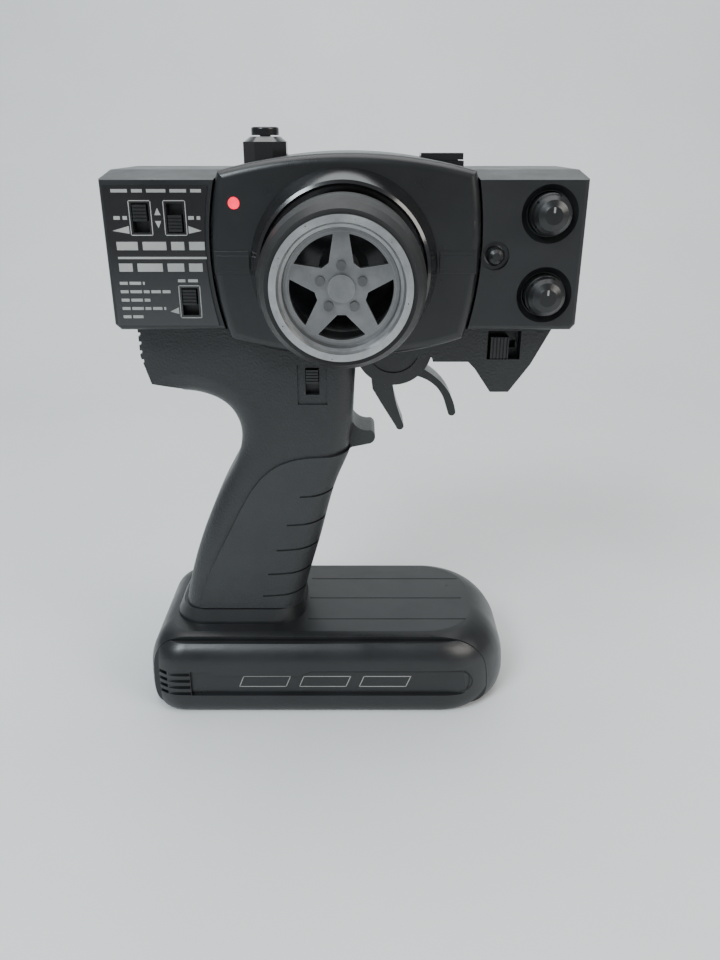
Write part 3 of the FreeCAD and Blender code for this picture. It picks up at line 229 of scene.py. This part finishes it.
# Each plastic or metal has its darkest and lightest colour and the range of its roughness.
# A plastic's grain strength and scale follow, or how metallic a metal is and how its brushing stretches.
LOOKS = {
    "shell_plastic": plastic("shell_plastic", (0.0085, 0.0093, 0.0103), (0.0125, 0.0136, 0.0148),
                             (0.27, 0.42), 0.2, 2300),
    "cowl_plastic": plastic("cowl_plastic", (0.0072, 0.008, 0.0088), (0.0105, 0.0114, 0.0124),
                            (0.24, 0.38), 0.12, 2600),
    "grip_plastic": plastic("grip_plastic", (0.0145, 0.016, 0.0172), (0.02, 0.022, 0.0236),
                            (0.4, 0.54), 0.55, 1250),
    "gloss_black": plastic("gloss_black", (0.004, 0.004, 0.0045), (0.008, 0.008, 0.009),
                           (0.1, 0.22), 0, coat=0.6),
    "wheel_silver": rim_silver(),
    "lug_steel": metal("lug_steel", (0.09, 0.09, 0.092), (0.16, 0.16, 0.163), (0.3, 0.5), 0.9),
    "tyre_rubber": plastic("tyre_rubber", (0.0065, 0.0066, 0.007), (0.0115, 0.0118, 0.0122),
                           (0.38, 0.6), 0.35, 1100),
    "control_black": plastic("control_black", (0.0055, 0.006, 0.0065), (0.0095, 0.01, 0.0105),
                             (0.24, 0.4), 0.1, 2600),
    "screw_steel": metal("screw_steel", (0.3, 0.3, 0.31), (0.52, 0.52, 0.53), (0.22, 0.42)),
    "lamp_red": glowing("lamp_red"),
    "aerial_chrome": metal("aerial_chrome", (0.62, 0.62, 0.64), (0.74, 0.74, 0.76),
                           (0.06, 0.16), 1.0, (1, 1, 0.05)),
    "inner_plastic": plastic("inner_plastic", (0.03, 0.03, 0.03), (0.045, 0.045, 0.045),
                             (0.4, 0.55), 0.15),
    "board_green": plastic("board_green", (0.008, 0.07, 0.026), (0.016, 0.11, 0.04),
                           (0.25, 0.4), 0.2, 700),
    "component_black": plastic("component_black", (0.01, 0.01, 0.011), (0.02, 0.02, 0.021),
                               (0.35, 0.5), 0.1),
    "pot_metal": metal("pot_metal", (0.36, 0.36, 0.37), (0.5, 0.5, 0.51), (0.25, 0.45)),
    "cell_wrap": plastic("cell_wrap", (0.02, 0.024, 0.04), (0.035, 0.04, 0.06), (0.2, 0.35), 0, coat=0.3),
    "contact_brass": metal("contact_brass", (0.5, 0.36, 0.12), (0.62, 0.46, 0.18), (0.2, 0.4)),
}
PRINT = plastic("print_light", (0.2, 0.2, 0.195), (0.34, 0.34, 0.33), (0.4, 0.6), 0.1, wear=0)
DARK_LINE = plastic("dark_line", (0.002, 0.002, 0.0022), (0.004, 0.004, 0.0042), (0.5, 0.7), 0.1, wear=0)

LEATHERY = plastic("neck_plastic", (0.0105, 0.0116, 0.0126), (0.0155, 0.017, 0.0182), (0.34, 0.48), 0.6, 1150)
OWN_LOOK = {"case_right": LEATHERY, "case_left": LEATHERY, "aerial_tip": capped_rod()}
slots = {entry["node"]: entry["material_slot"] for entry in frame["record"]["subparts"]}
for name, thing in NODES.items():
    thing.data.materials.clear()
    thing.data.materials.append(OWN_LOOK.get(name, LOOKS[slots[name]]))

# ---------------------------------------------------------------- small mesh pieces


def mesh_piece(name, vertices, faces, material, body, bevel=0.0):
    """A closed piece given in millimetres that rides on a body."""
    mesh = bpy.data.meshes.new(name)
    mesh.from_pydata([tuple(c * MM for c in v) for v in vertices], [], faces)
    mesh.update()
    mesh.materials.append(material)
    piece = bpy.data.objects.new(name, mesh)
    bpy.context.collection.objects.link(piece)
    if bevel:
        rounding = piece.modifiers.new("rounding", "BEVEL")
        rounding.width = bevel * MM
        rounding.segments = 2
        rounding.limit_method = "ANGLE"
    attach(piece, body)
    return piece


def prism(outline, front, back):
    """Vertices and faces of an outline in X and Z, made solid between two Y planes."""
    count = len(outline)
    vertices = [(x, front, z) for x, z in outline] + [(x, back, z) for x, z in outline]
    faces = [tuple(range(count)), tuple(range(2 * count - 1, count - 1, -1))]
    faces += [(n, n + count, (n + 1) % count + count, (n + 1) % count) for n in range(count)]
    return vertices, faces


def merged(name, prisms, material, body, bevel=0.0):
    """Several prisms as one piece."""
    vertices, faces = [], []
    for outline, front, back in prisms:
        new_vertices, new_faces = prism(outline, front, back)
        faces += [tuple(i + len(vertices) for i in face) for face in new_faces]
        vertices += new_vertices
    return mesh_piece(name, vertices, faces, material, body, bevel)


def bar(x0, z0, x1, z1):
    return [(x0, z0), (x1, z0), (x1, z1), (x0, z1)]


def front_of(node):
    """The Y of a node's front face, in millimetres."""
    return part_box(node)[0].y / MM


# ---------------------------------------------------------------- printed marks on the switch panel

panel = front_of("switch_panel")
INK = (panel - 0.03, panel + 0.05)


def slot_outline(x, z):
    """A thin printed outline round the slot that has its middle at x and z."""
    left, right = x - 3.6, x + 3.6
    low, high = z - 5.4, z + 5.4
    line = 0.28
    return [(bar(left, low, left + line, high), *INK),
            (bar(right - line, low, right, high), *INK),
            (bar(left, high - line, right, high), *INK),
            (bar(left, low, right, low + line), *INK)]


def dashes(x0, x1, z, height, lengths, gap=0.9):
    """A row of plain dashes where a line of lettering would be."""
    made = []
    x = x0
    for length in itertools.cycle(lengths):
        if x >= x1:
            return made
        made.append((bar(x, z, min(x + length, x1), z + height), *INK))
        x += length + gap


marks = []
for slot_x, slot_z in ((-57.4, 191.3), (-46.4, 191.3), (-43.7, 164.8)):
    marks += slot_outline(slot_x, slot_z)
marks += dashes(-66, -37.5, 199.0, 1.0, (5.2, 3.4, 6.1), 1.3)
marks += dashes(-66, -61.6, 190.8, 1.1, (2, 1.4))
marks += dashes(-42.2, -38.4, 190.8, 1.1, (1.8, 1.2))
marks += dashes(-66, -37.6, 181.4, 2.6, (6.8, 7.6, 4.2), 1.6)
marks += dashes(-66, -37.2, 178.6, 0.7, (28.8,))
marks += dashes(-66, -37.6, 174.6, 2.6, (4.4, 8.2, 5.4), 1.6)
for row, reach in enumerate((8.2, 17, 9.6, 14.5, 6.6)):
    marks += dashes(-66.4, -66.4 + reach, 170.4 - 2.75 * row, 0.95, (2.6, 3.8, 1.9, 3.1), 0.6)
marks += dashes(-47.2, -40.4, 171.2, 0.95, (2.4, 3.2))
arrows = [
    [(-66.8, 187.4), (-61.4, 186.5), (-61.4, 188.9)],
    [(-38.2, 187.4), (-42.4, 188.9), (-42.4, 186.5)],
    [(-50.6, 161.6), (-47.7, 160.8), (-47.7, 163)],
    [(-51.9, 194.4), (-52.9, 192.2), (-50.9, 192.2)],
    [(-51.9, 188.2), (-50.9, 190.4), (-52.9, 190.4)],
]
marks += [(arrow, *INK) for arrow in arrows]
merged("panel_print", marks, PRINT, "case")

# ---------------------------------------------------------------- generic badge in the drawer's recess

# The floor of the long recess in the door, 1.5 mm behind the foot's front.
recess = -33.5
badge = []
for start in (-36, -12, 12):
    corners = [(start, 12.2), (start + 19, 12.2), (start + 21, 17.4), (start + 2, 17.4)]
    for (ax, az), (bx, bz) in zip(corners, corners[1:] + corners[:1]):
        along = Vector((bx - ax, bz - az)).normalized() * 0.32
        side = Vector((-along.y, along.x))
        line = [(ax, az), (bx, bz), (bx + side.x, bz + side.y), (ax + side.x, az + side.y)]
        badge.append((line, recess - 0.02, recess + 0.06))
merged("drawer_badge", badge, PRINT, "battery_drawer")

# A painted shadow: a dark strip on the recess floor along its top, round its right end and along a finger
# notch, where the recess's lip casts shade.
line_depth = (recess - 0.04, recess + 0.06)
shadow = [(bar(-6.5, 19.3, 52.6, 19.9), *line_depth),
          (bar(-46.5, 17.7, -10.6, 18.3), *line_depth),
          ([(-10.6, 17.7), (-6.5, 19.3), (-6.5, 19.9), (-10.6, 18.3)], *line_depth)]
bend_x, bend_z = 52.6, 14.8
inner, outer = 4.5, 5.1
bend_steps = 14
for n in range(bend_steps):
    a = math.radians(180 * n / bend_steps)
    b = math.radians(180 * (n + 1) / bend_steps)
    corners = [(bend_x + radius * math.sin(turn), bend_z + radius * math.cos(turn))
               for radius, turn in ((inner, a), (inner, b), (outer, b), (outer, a))]
    shadow.append((corners, *line_depth))
merged("drawer_shadow_line", shadow, DARK_LINE, "battery_drawer")

# ---------------------------------------------------------------- dial pointers

axes = {joint["name"]: joint["pos_m"] for joint in frame["record"]["behaviour"]["joints"] if "pos_m" in joint}
dial_front = front_of("steering_trim_knob")
for dial in ("steering_trim", "throttle_trim"):
    x, z = axes[f"{dial}_turn"][0] / MM, axes[f"{dial}_turn"][2] / MM
    pointer = bar(x - 0.3, z + 0.9, x + 0.3, z + 2.6)
    merged(f"{dial}_mark", [(pointer, dial_front - 0.04, dial_front + 0.1)], PRINT, dial)

# ---------------------------------------------------------------- wheel detail

wheel_x, wheel_z = axes["steering_turn"][0] / MM, axes["steering_turn"][2] / MM
rim_front = front_of("wheel_rim")
chips = []
for n, turn in enumerate((12, 47, 101, 143, 188, 239, 252, 297, 331)):
    angle = math.radians(turn)
    reach = 19.1 + 0.35 * math.sin(5 * n)
    x, z = wheel_x + reach * math.sin(angle), wheel_z + reach * math.cos(angle)
    size = 0.1 + 0.05 * (n % 3)
    chip = [(x - size, z), (x, z - size * 1.4), (x + size, z), (x + size * 0.2, z + size)]
    chips.append((chip, rim_front - 0.02, rim_front + 0.1))
merged("rim_chips", chips, DARK_LINE, "steering_wheel")

# ---------------------------------------------------------------- raised lines on the cowl

cowl_face = front_of("cowl_right")
low_step = (cowl_face - 0.25, cowl_face + 0.1)
high_step = (cowl_face - 0.45, cowl_face - 0.2)
band = [(bar(-34.6, 174.2, -23.2, 181.3), *low_step), (bar(-33.9, 175.6, -23.2, 179.9), *high_step),
        (bar(38.2, 174.2, 50.2, 181.3), *low_step), (bar(38.2, 175.6, 49.6, 179.9), *high_step)]
merged("cowl_bands", band, LOOKS["cowl_plastic"], "case", 0.12)

# ---------------------------------------------------------------- studio

backdrop = Surface("paper")
backdrop.color(backdrop.blend(backdrop.noise(4, 5), (0.66, 0.68, 0.69), (0.71, 0.73, 0.735)))
backdrop.rough(backdrop.spread(backdrop.noise(30, 5), 0.5, 0.65))
backdrop.bump((backdrop.noise(160, 5), 0.08, 0.2))

# In metres: the paper runs flat from the front to the bend, turns up a quarter circle and becomes a wall.
front, bend, radius, top = -1.4, 0.35, 0.5, 3
steps = 12
rows = [(front + (bend - front) * n / steps, 0) for n in range(steps)]
for n in range(steps + 1):
    angle = math.pi / 2 * n / steps
    rows.append((bend + radius * math.sin(angle), radius - radius * math.cos(angle)))
rows.append((bend + radius, top))
floor_vertices = [(x, y, z) for y, z in rows for x in (-3, 3)]
floor_faces = [(2 * n, 2 * n + 1, 2 * n + 3, 2 * n + 2) for n in range(len(rows) - 1)]
floor_mesh = bpy.data.meshes.new("floor")
floor_mesh.from_pydata(floor_vertices, [], floor_faces)
floor_mesh.materials.append(backdrop.material)
for polygon in floor_mesh.polygons:
    polygon.use_smooth = True
floor = bpy.data.objects.new("floor", floor_mesh)
bpy.context.collection.objects.link(floor)


def softbox(name, place, target, size, power, color):
    data = bpy.data.lights.new(name, "AREA")
    data.shape = "RECTANGLE"
    data.size, data.size_y = size
    data.energy = power
    data.color = color
    light = bpy.data.objects.new(name, data)
    light.location = place
    light.rotation_euler = (Vector(target) - Vector(place)).to_track_quat("-Z", "Y").to_euler()
    bpy.context.collection.objects.link(light)
    return light


lights = [
    softbox("key", (-0.55, -0.75, 0.95), (0, 0, 0.12), (0.45, 0.45), 13, (0.86, 0.96, 1.0)),
    softbox("fill", (0.9, -0.6, 0.7), (0, 0, 0.15), (0.6, 0.6), 8, (1.0, 0.95, 0.88)),
    softbox("top", (0.0, 0.1, 1.3), (0, 0, 0.1), (1.2, 1.0), 12, (1.0, 1.0, 1.0)),
]
world = bpy.data.worlds.new("world")
world.use_nodes = True
world.node_tree.nodes["Background"].inputs["Color"].default_value = (0.92, 0.95, 1.0, 1)
world.node_tree.nodes["Background"].inputs["Strength"].default_value = 0.35
bpy.context.scene.world = world
